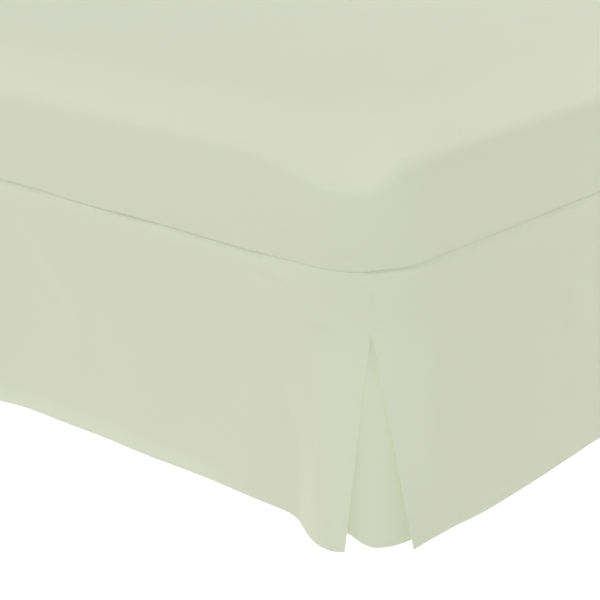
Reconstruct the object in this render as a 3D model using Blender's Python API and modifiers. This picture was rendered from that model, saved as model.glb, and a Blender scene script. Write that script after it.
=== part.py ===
"""A bed skirt sewn to a fitted sheet, on the mattress and the bed base that hold it in shape.

The bed stands on six feet with its foot end towards -Y. The sheet covers the mattress. Three skirt
panels hang from the sheet's lower edge, over the foot and both sides of the base, and a separate
insert lies behind the open pleat at each foot corner. The head end has no skirt.
Lengths are in metres, +Z is up, and the origin is on the floor under the middle of the whole bed.
"""

import math

import bmesh
import bpy
import numpy as np

# The bed. The seam is the line where the skirt is sewn to the sheet, all round the mattress.
BED_WIDTH = 1.50
BED_LENGTH = 2.00
SEAM_RADIUS = 0.125
SEAM_HEIGHT = 0.408
HEM_HEIGHT = 0.008
FOOT_REACH = 0.079
HEAD_REACH = 0.031
BED_MIDDLE_Y = (FOOT_REACH - HEAD_REACH) / 2

# Cloth and clearances.
CLOTH = 0.0015
SEWN_GAP = 0.0004
REST_GAP = 0.0003

# The base and its feet.
BASE_INSET = 0.004
BASE_BOTTOM = 0.045
BASE_TOP = 0.400
BASE_EDGE = 0.007
FOOT_BOTTOM_RADIUS = 0.030
FOOT_TOP_RADIUS = 0.024
FOOT_EDGE = 0.002
FOOT_INSET = 0.22

# The sheet's wall, from its sewn edge up to the rounded top edge of the mattress.
WALL_PROFILE = (
    # outward of the seam, above the seam
    (-0.012, 0.1475),
    (-0.002, 0.1410),
    (0.003, 0.1260),
    (0.009, 0.0900),
    (0.012, 0.0500),
    (0.010, 0.0180),
    (0.005, 0.0060),
    (0.000, 0.0000),
)
CROWN = 0.028
CROWN_WIDTH = 0.070

# The mattress fills the sheet, and its lower edge rounds in under the sheet's sewn edge.
MATTRESS_BOTTOM = BASE_TOP + REST_GAP
LOWER_EDGE = (
    # inward of the seam, above the underside
    (0.0075, 0.0062),
    (0.0120, 0.0018),
    (0.0220, 0.0),
)

# The grid over the mattress: cells across each rounded corner, and between the corners.
CORNER_CELLS = 6
WIDTH_CELLS = 5
LENGTH_CELLS = 6

# How the mattress's corners droop. The lowest place lies DROOP_SHIFT round the corner towards the
# bed's foot or head, and the droop fades over these lengths of the edge, and inwards.
DROOP = 0.024
DROOP_SHIFT = 0.006
DROOP_TO_END = 0.130
DROOP_TO_SIDE = 0.090
DROOP_INWARDS = 0.220

# The skirt's shoulder, where it turns from the seam over the edge of the base.
SHOULDER = 0.014
SHOULDER_FALL = 0.008

# The pleat at each foot corner sits PLEAT_SHIFT past the middle of the corner, towards the side.
# It is sewn shut down to TACK_DROP, with each panel PLEAT_GAP from the middle, and opens below.
# Over FREE_WIDTH from the pleat a panel hangs more from the tack than from the seam.
PLEAT_SHIFT = 0.004
TACK_DROP = 0.090
FOOT_TURN = math.pi / 4 + PLEAT_SHIFT / SEAM_RADIUS
SIDE_TURN = math.pi / 4 - PLEAT_SHIFT / SEAM_RADIUS
PLEAT_GAP = 0.0008
FREE_WIDTH = 0.250

# How far a side panel goes on along the head end past the rounded corner.
HEAD_WRAP = 0.040

# The insert lies behind the panels by the cloth, INSERT_GAP, and a slack that grows to the tack.
INSERT_GAP = 0.0010
INSERT_SLACK = 0.0020
INSERT_TOP_DROP = 0.0010
INSERT_HALF_WIDTH = 0.115

# The hem of the foot panel in plan, from the right corner to the left one.
FOOT_HEM = (
    # along the foot from the right side, outward of the seam
    (-0.009, 0.069),
    (0.004, 0.077),
    (0.022, 0.079),
    (0.048, 0.072),
    (0.080, 0.053),
    (0.106, 0.035),
    (0.135, 0.024),
    (0.205, 0.021),
    (0.360, 0.021),
    (0.560, 0.014),
    (0.690, 0.015),
    (0.760, 0.023),
    (0.805, 0.034),
    (0.860, 0.039),
    (0.980, 0.029),
    (1.200, 0.021),
    (1.340, 0.022),
    (1.390, 0.031),
    (1.435, 0.047),
    (1.480, 0.055),
    (1.504, 0.050),
)

# The hem of a side panel in plan, from its foot corner round the head corner.
SIDE_HEM = (
    # along the side from the foot, outward of the seam
    (0.006, 0.083),
    (0.060, 0.083),
    (0.110, 0.085),
    (0.160, 0.091),
    (0.220, 0.094),
    (0.330, 0.092),
    (0.440, 0.090),
    (0.520, 0.084),
    (0.700, 0.085),
    (0.900, 0.078),
    (1.120, 0.066),
    (1.350, 0.070),
    (1.580, 0.056),
    (1.760, 0.046),
    (1.880, 0.034),
    (1.965, 0.008),
    (2.014, -0.045),
    (2.028, -0.110),
    (2.030, -0.165),
)

# The hem of the pleat's insert in plan, from behind the foot panel to behind the side panel.
INSERT_HEM = (
    # right of the side's seam, in front of the foot's seam
    (-0.145, 0.010),
    (-0.080, 0.011),
    (-0.040, 0.014),
    (-0.020, 0.019),
    (0.000, 0.030),
    (0.020, 0.034),
    (0.036, 0.030),
    (0.048, 0.018),
    (0.056, 0.000),
    (0.061, -0.025),
    (0.062, -0.070),
    (0.060, -0.130),
)

# Soft waves along a panel, which grow from nothing at the seam to their full size at the hem.
FOOT_WAVES = (
    # length, depth at the hem, phase
    (0.52, 0.0030, 0.4),
    (0.23, 0.0014, 2.0),
)
RIGHT_WAVES = (
    # length, depth at the hem, phase
    (0.61, 0.0032, 1.1),
    (0.27, 0.0016, 0.3),
)
LEFT_WAVES = (
    # length, depth at the hem, phase
    (0.55, 0.0034, 2.6),
    (0.31, 0.0018, 1.2),
)

# The hem's band turns outwards along part of the foot panel.
KICK = 0.006
KICK_RISE = 0.060
KICK_MIDDLE = 0.55
KICK_LENGTH = 0.30

# The rows of a skirt panel, as drops below the seam.
DROP = SEAM_HEIGHT - SEWN_GAP - HEM_HEIGHT
ROW_DROPS = (0.0, 0.004, 0.011, 0.024, 0.050, TACK_DROP, 0.135, 0.190, 0.250, 0.315, 0.360, DROP)

# The spacing of a panel's columns at its ends and in its middle, and how long the end zones are.
END_SPACING = 0.012
MIDDLE_SPACING = 0.056
END_ZONE = 0.450
INSERT_COLUMNS = 18

# Faces that meet at less than these angles are shaded as one smooth surface.
CLOTH_SMOOTH = math.radians(60)
BLOCK_SMOOTH = math.radians(40)
EDGE_ANGLE = math.radians(60)

CLOTH_COLOUR = (0.631, 0.665, 0.521, 1.0)
TICKING_COLOUR = (0.760, 0.740, 0.690, 1.0)
BASE_COLOUR = (0.560, 0.530, 0.480, 1.0)
FOOT_COLOUR = (0.020, 0.020, 0.022, 1.0)


def clear_scene():
    for old in list(bpy.data.objects):
        bpy.data.objects.remove(old)


def new_collection(name):
    collection = bpy.data.collections.new(name)
    bpy.context.scene.collection.children.link(collection)
    return collection


def material(name, colour, roughness):
    made = bpy.data.materials.new(name)
    made.use_nodes = True
    shader = made.node_tree.nodes["Principled BSDF"]
    shader.inputs["Base Color"].default_value = colour
    shader.inputs["Roughness"].default_value = roughness
    shader.inputs["Metallic"].default_value = 0.0
    return made


def add_object(name, mesh_data, collection, surface, smooth_angle):
    """Fills a named object from a bmesh."""
    mesh = bpy.data.meshes.new(name)
    mesh_data.to_mesh(mesh)
    mesh_data.free()
    mesh.materials.append(surface)
    mesh.shade_smooth()
    mesh.set_sharp_from_angle(angle=smooth_angle)
    made = bpy.data.objects.new(name, mesh)
    collection.objects.link(made)
    return made


def thicken(sheet):
    """Gives an open surface the cloth's thickness, on its inner side."""
    solidify = sheet.modifiers.new("cloth thickness", "SOLIDIFY")
    solidify.thickness = CLOTH
    solidify.offset = -1.0
    solidify.use_even_offset = True
    return sheet


def soften_edges(block, width, segments):
    edges = block.modifiers.new("soft edges", "BEVEL")
    edges.width = width
    edges.segments = segments
    edges.limit_method = "ANGLE"
    edges.angle_limit = EDGE_ANGLE


def mix(a, b, share):
    return a + (b - a) * share


def smooth_step(value):
    value = min(max(value, 0.0), 1.0)
    return value * value * (3.0 - 2.0 * value)


class PlanCurve:
    """A smooth curve through points in plan, read by the share of its length."""

    STEPS = 24

    def __init__(self, points):
        knots = np.array(points, float)
        padded = np.vstack([2 * knots[0] - knots[1], knots, 2 * knots[-1] - knots[-2]])
        samples = []
        for before, start, end, after in zip(padded, padded[1:], padded[2:], padded[3:]):
            for step in range(self.STEPS):
                samples.append(self.between(before, start, end, after, step / self.STEPS))
        samples.append(knots[-1])
        self.samples = np.array(samples)
        spans = np.linalg.norm(np.diff(self.samples, axis=0), axis=1)
        self.along = np.concatenate([[0.0], np.cumsum(spans)])
        self.length = self.along[-1]

    @staticmethod
    def between(before, start, end, after, t):
        """A Catmull-Rom span, with tangents scaled to the uneven spacing of its points."""
        span = np.linalg.norm(end - start)
        tangent_in = (end - before) / (span + np.linalg.norm(start - before)) * span
        tangent_out = (after - start) / (span + np.linalg.norm(after - end)) * span
        return (
            (2 * t**3 - 3 * t**2 + 1) * start
            + (t**3 - 2 * t**2 + t) * tangent_in
            + (3 * t**2 - 2 * t**3) * end
            + (t**3 - t**2) * tangent_out
        )

    def at(self, share):
        place = share * self.length
        return [float(np.interp(place, self.along, self.samples[:, axis])) for axis in (0, 1)]


def seam_point(distance, outward, wall_length, first_turn):
    """(along, outward) in plan, that distance along the seam from a pleat in a rounded corner.

    The seam goes first_turn round the corner, follows the wall, then turns the next corner and
    goes on.
    """
    first_part = SEAM_RADIUS * first_turn
    straight = wall_length - 2 * SEAM_RADIUS
    reach = SEAM_RADIUS + outward
    if distance < first_part:
        turn = first_turn - distance / SEAM_RADIUS
        return SEAM_RADIUS - reach * math.sin(turn), reach * math.cos(turn) - SEAM_RADIUS
    if distance < first_part + straight:
        return SEAM_RADIUS + distance - first_part, outward
    turn = (distance - first_part - straight) / SEAM_RADIUS
    past_corner = max(0.0, turn - math.pi / 2) * SEAM_RADIUS
    turn = min(turn, math.pi / 2)
    along = wall_length - SEAM_RADIUS + reach * math.sin(turn)
    return along, reach * math.cos(turn) - SEAM_RADIUS - past_corner


def shoulder(drop, depth=SHOULDER):
    """How far the cloth stands out of the seam at a drop below it."""
    return depth * (1.0 - math.exp(-drop / SHOULDER_FALL))


def column_shares(length):
    """Shares of a panel's length for its columns, closer together near its two ends."""
    places = [0.0]
    while places[-1] < length:
        to_end = min(places[-1], max(0.0, length - places[-1]))
        places.append(places[-1] + mix(END_SPACING, MIDDLE_SPACING, smooth_step(to_end / END_ZONE)))
    return np.array(places) / places[-1]


def opening_share(drop, from_slit):
    """How far the cloth has gone from the seam's line to the hem's.

    Beside the slit it only starts below the tack; further along it starts at the seam.
    """
    below_tack = max(0.0, (drop - TACK_DROP) / (DROP - TACK_DROP))
    return mix(below_tack, drop / DROP, smooth_step(from_slit / FREE_WIDTH))


def waves(table, place, drop):
    share = smooth_step(drop / DROP)
    return share * sum(
        depth * math.sin(2 * math.pi * place / length + phase) for length, depth, phase in table
    )


def kick(place, drop):
    """How far the foot panel's hem band turns out."""
    up_from_hem = (DROP - drop) / KICK_RISE
    along = (place - KICK_MIDDLE) / KICK_LENGTH
    return KICK * math.exp(-along * along) * max(0.0, 1.0 - up_from_hem) ** 2


def mapped_grid(columns, rows, place):
    """A grid whose point in column i and row j is place(i, j)."""
    cloth = bmesh.new()
    bmesh.ops.create_grid(cloth, x_segments=columns, y_segments=rows, size=1.0)
    for point in cloth.verts:
        column = round((point.co.x + 1.0) / 2.0 * columns)
        row = round((1.0 - point.co.y) / 2.0 * rows)
        point.co = place(column, row)
    return cloth


def foot_panel_place(shares):
    """Where each grid point of the foot panel hangs."""
    hem = PlanCurve(FOOT_HEM)
    seam_length = BED_WIDTH - 2 * SEAM_RADIUS + 2 * (FOOT_TURN * SEAM_RADIUS - PLEAT_GAP)

    def place(column, row):
        share, drop = shares[column], ROW_DROPS[row]
        from_seam_end = PLEAT_GAP + share * seam_length
        nearest_slit = min(share, 1.0 - share) * hem.length
        along, outward = seam_point(from_seam_end, shoulder(drop), BED_WIDTH, FOOT_TURN)
        hem_along, hem_outward = hem.at(share)
        opened = opening_share(drop, nearest_slit)
        away = smooth_step(nearest_slit / FREE_WIDTH)
        along = mix(along, hem_along, opened)
        outward = mix(outward, hem_outward, opened)
        outward += away * waves(FOOT_WAVES, along, drop) + kick(along, drop)
        x = BED_WIDTH / 2 - along
        y = BED_MIDDLE_Y - BED_LENGTH / 2 - outward
        return x, y, SEAM_HEIGHT - SEWN_GAP - drop

    return place


def side_panel_place(shares, table, side):
    """Where each grid point of a side panel hangs; side is 1 on the right and -1 on the left."""
    hem = PlanCurve(SIDE_HEM)
    corners = SEAM_RADIUS * (SIDE_TURN + math.pi / 2)
    seam_length = corners + BED_LENGTH - 2 * SEAM_RADIUS + HEAD_WRAP - PLEAT_GAP

    def place(column, row):
        share, drop = shares[column], ROW_DROPS[row]
        from_seam_end = PLEAT_GAP + share * seam_length
        along, outward = seam_point(from_seam_end, shoulder(drop), BED_LENGTH, SIDE_TURN)
        hem_along, hem_outward = hem.at(share)
        opened = opening_share(drop, share * hem.length)
        away = smooth_step(share * hem.length / FREE_WIDTH)
        away *= smooth_step((1.0 - share) * hem.length / FREE_WIDTH - 1.0)
        along = mix(along, hem_along, opened)
        outward = mix(outward, hem_outward, opened) + away * waves(table, along, drop)
        x = side * (BED_WIDTH / 2 + outward)
        y = BED_MIDDLE_Y - BED_LENGTH / 2 + along
        return x, y, SEAM_HEIGHT - SEWN_GAP - drop

    return place


def insert_place(shares, side):
    """Where each grid point of a pleat's insert hangs, behind both panels."""
    hem = PlanCurve(INSERT_HEM)

    def place(column, row):
        share, drop = shares[column], ROW_DROPS[row]
        from_middle = (2 * share - 1) * INSERT_HALF_WIDTH
        behind = CLOTH + INSERT_GAP + INSERT_SLACK * smooth_step(drop / TACK_DROP)
        depth = shoulder(drop) - behind
        first_turn = FOOT_TURN if from_middle < 0 else SIDE_TURN
        wall, out = seam_point(abs(from_middle), depth, BED_WIDTH, first_turn)
        right, front = (-wall, out) if from_middle < 0 else (out, -wall)
        hem_right, hem_front = hem.at(share)
        opened = max(0.0, (drop - TACK_DROP) / (DROP - TACK_DROP))
        right = mix(right, hem_right, opened)
        front = mix(front, hem_front, opened)
        x = side * (BED_WIDTH / 2 + right)
        y = BED_MIDDLE_Y - BED_LENGTH / 2 - front
        return x, y, HEM_HEIGHT + (DROP - drop) * (1 - INSERT_TOP_DROP / DROP)

    return place


def add_panel(name, shares, place, collection, surface, flip):
    """A hanging piece of cloth; flip turns its outer side round where the columns run leftwards."""
    cloth = mapped_grid(len(shares) - 1, len(ROW_DROPS) - 1, place)
    if flip:
        bmesh.ops.reverse_faces(cloth, faces=cloth.faces)
    return thicken(add_object(name, cloth, collection, surface, CLOTH_SMOOTH))


def grid_line(index, middle_cells, half_length):
    """The place of a grid line across the bed, with lines where the rounded corners start."""
    last = 2 * CORNER_CELLS + middle_cells
    straight = half_length - SEAM_RADIUS
    if index <= CORNER_CELLS:
        return -half_length + SEAM_RADIUS * index / CORNER_CELLS
    if index >= last - CORNER_CELLS:
        return half_length - SEAM_RADIUS * (last - index) / CORNER_CELLS
    return straight * (2 * (index - CORNER_CELLS) / middle_cells - 1)


def rounded(x, y):
    """Moves a point of the bed's rectangle so that the rectangle gets the seam's round corners."""
    over_x = max(0.0, abs(x) - (BED_WIDTH / 2 - SEAM_RADIUS)) / SEAM_RADIUS
    over_y = max(0.0, abs(y) - (BED_LENGTH / 2 - SEAM_RADIUS)) / SEAM_RADIUS
    back_x = over_x * (1 - math.sqrt(1 - over_y**2 / 2)) * SEAM_RADIUS
    back_y = over_y * (1 - math.sqrt(1 - over_x**2 / 2)) * SEAM_RADIUS
    return x - math.copysign(back_x, x), y - math.copysign(back_y, y)


def edge_frame(x, y):
    """The outward direction at the seam nearest to a point in plan, and how far inside it lies."""
    core_x = BED_WIDTH / 2 - SEAM_RADIUS
    core_y = BED_LENGTH / 2 - SEAM_RADIUS
    over_x = abs(x) - core_x
    over_y = abs(y) - core_y
    if over_x > 0 and over_y > 0:
        reach = math.hypot(over_x, over_y)
        direction = (math.copysign(over_x / reach, x), math.copysign(over_y / reach, y))
        return direction, SEAM_RADIUS - reach
    if over_x > over_y:
        return (math.copysign(1.0, x), 0.0), SEAM_RADIUS - over_x
    return (0.0, math.copysign(1.0, y)), SEAM_RADIUS - over_y


def droop(x, y, inset):
    """How far the mattress's top sinks near its nearest corner."""
    to_side = BED_WIDTH / 2 - abs(x)
    to_end = BED_LENGTH / 2 - abs(y)
    half_corner = SEAM_RADIUS * math.pi / 4
    if to_side < SEAM_RADIUS and to_end < SEAM_RADIUS:
        turn = math.atan2(SEAM_RADIUS - to_side, SEAM_RADIUS - to_end)
        around = SEAM_RADIUS * (turn - math.pi / 4)
    elif to_side > to_end:
        around = -(half_corner + to_side - SEAM_RADIUS)
    else:
        around = half_corner + to_end - SEAM_RADIUS
    around += DROOP_SHIFT
    spread = DROOP_TO_END if around < 0 else DROOP_TO_SIDE
    spread += max(0.0, inset)
    return DROOP * math.exp(-((around / spread) ** 2) - (inset / DROOP_INWARDS) ** 2)


def top_height(x, y):
    """The height of the mattress's top above the seam, with its crown and drooping corners."""
    edge_inset, edge_height = -WALL_PROFILE[0][0], WALL_PROFILE[0][1]
    inset = edge_frame(x, y)[1]
    rise = CROWN * (1 - math.exp(-max(0.0, inset - edge_inset) / CROWN_WIDTH))
    return edge_height + rise - droop(x, y, inset)


def covered_surface():
    """The sheet's outer face: a grid over the top, whose rim is drawn down into the walls."""
    surface = bmesh.new()
    columns = 2 * CORNER_CELLS + WIDTH_CELLS
    rows = 2 * CORNER_CELLS + LENGTH_CELLS
    bmesh.ops.create_grid(surface, x_segments=columns, y_segments=rows, size=1.0)
    edge_inset = -WALL_PROFILE[0][0]
    for point in surface.verts:
        column = round((point.co.x + 1.0) / 2.0 * columns)
        row = round((point.co.y + 1.0) / 2.0 * rows)
        x = grid_line(column, WIDTH_CELLS, BED_WIDTH / 2)
        y = grid_line(row, LENGTH_CELLS, BED_LENGTH / 2)
        x, y = rounded(x, y)
        x *= 1 - 2 * edge_inset / BED_WIDTH
        y *= 1 - 2 * edge_inset / BED_LENGTH
        point.co = x, y, top_height(x, y)
    rim = [edge for edge in surface.edges if edge.is_boundary]
    edge_height = WALL_PROFILE[0][1]
    for outward, height in WALL_PROFILE[1:]:
        made = bmesh.ops.extrude_edge_only(surface, edges=rim)["geom"]
        rim = [item for item in made if isinstance(item, bmesh.types.BMEdge)]
        for point in [item for item in made if isinstance(item, bmesh.types.BMVert)]:
            (toward_x, toward_y), inset = edge_frame(point.co.x, point.co.y)
            point.co.x += toward_x * (inset + outward)
            point.co.y += toward_y * (inset + outward)
            sunk = droop(point.co.x, point.co.y, 0.0) * (height / edge_height) ** 2
            point.co.z = height - sunk
    bmesh.ops.recalc_face_normals(surface, faces=surface.faces)
    for point in surface.verts:
        point.co.y += BED_MIDDLE_Y
        point.co.z += SEAM_HEIGHT
    return surface


def add_sheet(collection, surface):
    return thicken(add_object("fitted_sheet", covered_surface(), collection, surface, CLOTH_SMOOTH))


def add_mattress(collection, surface):
    body = covered_surface()
    body.normal_update()
    inwards = CLOTH + SEWN_GAP
    for point in body.verts:
        point.co -= point.normal * inwards
    rim = [edge for edge in body.edges if edge.is_boundary]
    for inward, above in LOWER_EDGE:
        made = bmesh.ops.extrude_edge_only(body, edges=rim)["geom"]
        rim = [item for item in made if isinstance(item, bmesh.types.BMEdge)]
        for point in [item for item in made if isinstance(item, bmesh.types.BMVert)]:
            y = point.co.y - BED_MIDDLE_Y
            (toward_x, toward_y), inset = edge_frame(point.co.x, y)
            point.co.x += toward_x * (inset - inward)
            point.co.y += toward_y * (inset - inward)
            point.co.z = MATTRESS_BOTTOM + above
    bmesh.ops.holes_fill(body, edges=rim)
    bmesh.ops.recalc_face_normals(body, faces=body.faces)
    return add_object("mattress", body, collection, surface, CLOTH_SMOOTH)


def add_base(collection, surface):
    """A plain block with upright rounded corners and softened edges."""
    block = bmesh.new()
    bmesh.ops.create_cube(block, size=1.0)
    size = (BED_WIDTH - 2 * BASE_INSET, BED_LENGTH - 2 * BASE_INSET, BASE_TOP - BASE_BOTTOM)
    bmesh.ops.scale(block, vec=size, verts=block.verts)
    upright = [edge for edge in block.edges if edge.verts[0].co.z * edge.verts[1].co.z < 0]
    bmesh.ops.bevel(
        block,
        geom=upright,
        offset=SEAM_RADIUS - BASE_INSET,
        segments=8,
        profile=0.5,
        affect="EDGES",
    )
    base = add_object("bed_base", block, collection, surface, BLOCK_SMOOTH)
    base.location = (0.0, BED_MIDDLE_Y, (BASE_BOTTOM + BASE_TOP) / 2)
    soften_edges(base, BASE_EDGE, 2)
    return base


def add_feet(collection, surface):
    """Six tapered feet under the base, in two rows."""
    height = BASE_BOTTOM - REST_GAP
    across = BED_WIDTH / 2 - FOOT_INSET
    along = BED_LENGTH / 2 - FOOT_INSET
    for number, (column, row) in enumerate(
        ((column, row) for column in (-1, 1) for row in (-1, 0, 1)), start=1
    ):
        cone = bmesh.new()
        bmesh.ops.create_cone(
            cone,
            cap_ends=True,
            segments=20,
            radius1=FOOT_BOTTOM_RADIUS,
            radius2=FOOT_TOP_RADIUS,
            depth=height,
        )
        foot = add_object(f"base_foot_{number}", cone, collection, surface, BLOCK_SMOOTH)
        foot.location = (column * across, BED_MIDDLE_Y + row * along, height / 2)
        soften_edges(foot, FOOT_EDGE, 1)


def main():
    clear_scene()
    bed = new_collection("bed skirt")
    cloth = material("sage cotton", CLOTH_COLOUR, 0.85)
    ticking = material("mattress ticking", TICKING_COLOUR, 0.90)
    upholstery = material("base upholstery", BASE_COLOUR, 0.90)
    plastic = material("foot plastic", FOOT_COLOUR, 0.45)
    add_base(bed, upholstery)
    add_feet(bed, plastic)
    add_mattress(bed, ticking)
    add_sheet(bed, cloth)
    shares = column_shares(BED_WIDTH)
    add_panel("skirt_foot_panel", shares, foot_panel_place(shares), bed, cloth, True)
    for side, name, table in ((1, "right", RIGHT_WAVES), (-1, "left", LEFT_WAVES)):
        shares = column_shares(BED_LENGTH)
        place = side_panel_place(shares, table, side)
        add_panel(f"skirt_{name}_panel", shares, place, bed, cloth, side < 0)
        shares = np.linspace(0.0, 1.0, INSERT_COLUMNS + 1)
        place = insert_place(shares, side)
        add_panel(f"pleat_insert_{name}", shares, place, bed, cloth, side < 0)


main()
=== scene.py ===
"""The looks of a bed skirt sewn to a fitted sheet, on a mattress and a bed base.

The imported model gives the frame. Every piece of cloth is made again here as a thin sheet on its
solid's shape, with its creases, hems and stitches. Lengths are in metres and +Z is up.
"""

import math

import bmesh
import bpy
import numpy as np
from mathutils import Matrix, Vector


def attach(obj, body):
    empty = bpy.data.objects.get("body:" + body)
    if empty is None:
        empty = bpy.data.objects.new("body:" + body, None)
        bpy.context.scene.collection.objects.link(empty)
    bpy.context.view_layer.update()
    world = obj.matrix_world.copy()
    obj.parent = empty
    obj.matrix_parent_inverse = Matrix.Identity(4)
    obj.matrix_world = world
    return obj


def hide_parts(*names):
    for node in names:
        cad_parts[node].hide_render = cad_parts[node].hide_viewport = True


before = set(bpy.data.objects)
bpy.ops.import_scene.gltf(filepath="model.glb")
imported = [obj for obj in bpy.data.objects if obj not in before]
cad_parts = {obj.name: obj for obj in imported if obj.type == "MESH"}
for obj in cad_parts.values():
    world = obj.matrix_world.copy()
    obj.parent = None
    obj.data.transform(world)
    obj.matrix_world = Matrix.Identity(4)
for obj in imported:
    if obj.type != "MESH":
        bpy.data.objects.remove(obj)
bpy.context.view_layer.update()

# The bed, as in the solids.
BED_WIDTH = 1.50
BED_LENGTH = 2.00
SEAM_RADIUS = 0.125
SEAM_HEIGHT = 0.408
HEM_HEIGHT = 0.008
BED_MIDDLE_Y = 0.024
SIDE_X = BED_WIDTH / 2
FOOT_Y = BED_MIDDLE_Y - BED_LENGTH / 2
BASE_FEET = 6

# The cloth's thickness, the gap at the sewn seam, and the skirt's drop from there to its hem.
CLOTH = 0.0007
SEWN_GAP = 0.0004
DROP = SEAM_HEIGHT - SEWN_GAP - HEM_HEIGHT

# The pleat at each foot corner. Its slit lies a little round the corner towards the side, is tacked
# shut down to TACK_DROP, and the panels' hems swing out beside it within FREE_WIDTH.
PLEAT_OFFSET = 0.004
FOOT_TURN = math.pi / 4 + PLEAT_OFFSET / SEAM_RADIUS
SIDE_TURN = math.pi / 4 - PLEAT_OFFSET / SEAM_RADIUS
PLEAT_GAP = 0.0008
TACK_DROP = 0.090
TACK_SOFTNESS = 0.012
FREE_WIDTH = 0.250

# How far the side panels go on past the head's corners.
HEAD_WRAP = 0.040

# Above the tack the side panel's edge lies a little under the foot panel's.
UNDERLAP = 0.0030
UNDER_DEPTH = 0.0019
UNDER_WIDTH = 0.016
UNDER_START = 0.006
UNDER_END_RISE = 0.010
UNDER_END_LENGTH = 0.035

# The insert hangs behind the slit, a few millimetres behind the panels.
INSERT_HALF_WIDTH = 0.115
INSERT_TOP_DROP = 0.0010
INSERT_BEHIND = 0.0040
INSERT_BEHIND_TACK = 0.0020

# The sewn seam lies in a narrow groove, between the sheet's wall and the skirt's shoulder.
SEAM_OUT = 0.0088
SHOULDER = 0.0135
GROOVE = 0.0014
GROOVE_UNEVENNESS = 0.2
SHOULDER_UNEVENNESS = 0.0006
SHOULDER_SHIFT = 0.4

# The slow unevenness along a seam.
UNEVEN_WAVES = (
    # length, share, phase
    (0.173, 0.5, 0.6),
    (0.061, 0.3, 2.1),
    (0.331, 0.2, 4.0),
)

# The seam's line along the right side from the foot and, with places below zero, along the foot.
SEAM_LINE = (
    # place, the groove's width and depth as shares of the usual, the line's rise
    (-1.00, 1.0, 1.00, 0.0010),
    (-0.80, 1.2, 1.15, 0.0040),
    (-0.71, 1.2, 1.20, 0.0042),
    (-0.65, 0.9, 0.60, 0.0028),
    (-0.55, 0.9, 0.58, 0.0018),
    (-0.50, 0.9, 1.60, 0.0032),
    (-0.44, 0.9, 1.50, 0.0036),
    (-0.40, 1.0, 0.85, 0.0038),
    (-0.32, 1.0, 0.82, 0.0030),
    (-0.23, 1.1, 0.98, 0.0020),
    (-0.18, 1.0, 0.55, 0.0045),
    (-0.13, 1.0, 0.18, 0.0062),
    (-0.06, 1.0, 0.35, 0.0034),
    (-0.02, 1.0, 1.10, 0.0016),
    (0.03, 0.9, 1.60, 0.0036),
    (0.07, 1.1, 1.70, 0.0056),
    (0.12, 1.6, 0.70, 0.0058),
    (0.17, 3.0, 0.36, 0.0056),
    (0.40, 3.0, 0.42, 0.0030),
    (0.48, 1.6, 0.75, 0.0020),
    (0.70, 1.0, 1.00, 0.0010),
)
SEAM_RISE_REACH = 0.030

# The small puckers that the stitches pull into the skirt: their depth, length and reach downwards,
# how their spacing drifts, and how much of the seam has them and in which stretches.
PUCKER = 0.0005
PUCKER_LENGTH = 0.036
PUCKER_REACH = 0.012
PUCKER_DRIFT = 3.0
PUCKER_SHARE = 0.4
PUCKER_STRETCH = 0.6
PUCKER_SHIFT = 0.2

# The painted shade along the seam's groove: how much darker the cloth is painted, and how far from the
# seam.
SEAM_SHADE = 0.14
SEAM_SHADE_WIDTH = 0.0029

# A hem is the cloth turned up inside, HEM deep, and stitched along the top of the turned part. The
# side edges are turned back by EDGE_RETURN. Both have a fold of the radius EDGE_FOLD. Where the turned
# side edge goes into the hem, the hem's fold is flatter.
HEM = 0.028
EDGE_FOLD = 0.0008
FOLD_TURNS = (0.25, 0.5, 0.75)
EDGE_RETURN = 0.010
PRESSED_FOLD = 0.35
HEM_STEP = 0.0004
HEM_STEP_RISE = 0.006
STITCH_DENT = 0.0002
STITCH_WIDTH = 0.0012
LEAST_STITCHING = 0.15

# The hems in plan. The panels' are the solids' own. The insert's is raised and further forward
# behind the foot panel.
FOOT_HEM = (
    # along the foot from the right side, outward of the seam
    (-0.009, 0.069),
    (0.004, 0.077),
    (0.022, 0.079),
    (0.048, 0.072),
    (0.080, 0.053),
    (0.106, 0.035),
    (0.135, 0.024),
    (0.205, 0.021),
    (0.360, 0.021),
    (0.560, 0.014),
    (0.690, 0.015),
    (0.760, 0.023),
    (0.805, 0.034),
    (0.860, 0.039),
    (0.980, 0.029),
    (1.200, 0.021),
    (1.340, 0.022),
    (1.390, 0.031),
    (1.435, 0.047),
    (1.480, 0.055),
    (1.504, 0.050),
)
SIDE_HEM = (
    # along the side from the foot, outward of the seam
    (0.006, 0.083),
    (0.060, 0.083),
    (0.110, 0.085),
    (0.160, 0.091),
    (0.220, 0.094),
    (0.330, 0.092),
    (0.440, 0.090),
    (0.520, 0.084),
    (0.700, 0.085),
    (0.900, 0.078),
    (1.120, 0.066),
    (1.350, 0.070),
    (1.580, 0.056),
    (1.760, 0.046),
    (1.880, 0.034),
    (1.965, 0.008),
    (2.014, -0.045),
    (2.028, -0.110),
    (2.030, -0.165),
)
INSERT_HEM = (
    # right of the side's seam, in front of the foot's seam, raised above the panels' hems
    (-0.145, 0.010, 0.000),
    (-0.085, 0.024, 0.006),
    (-0.045, 0.035, 0.012),
    (-0.018, 0.040, 0.015),
    (0.000, 0.040, 0.012),
    (0.012, 0.039, 0.007),
    (0.025, 0.036, 0.003),
    (0.037, 0.030, 0.001),
    (0.048, 0.018, 0.001),
    (0.0565, 0.001, 0.001),
    (0.0620, -0.022, 0.001),
    (0.0635, -0.065, 0.000),
    (0.060, -0.130, 0.000),
)

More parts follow.
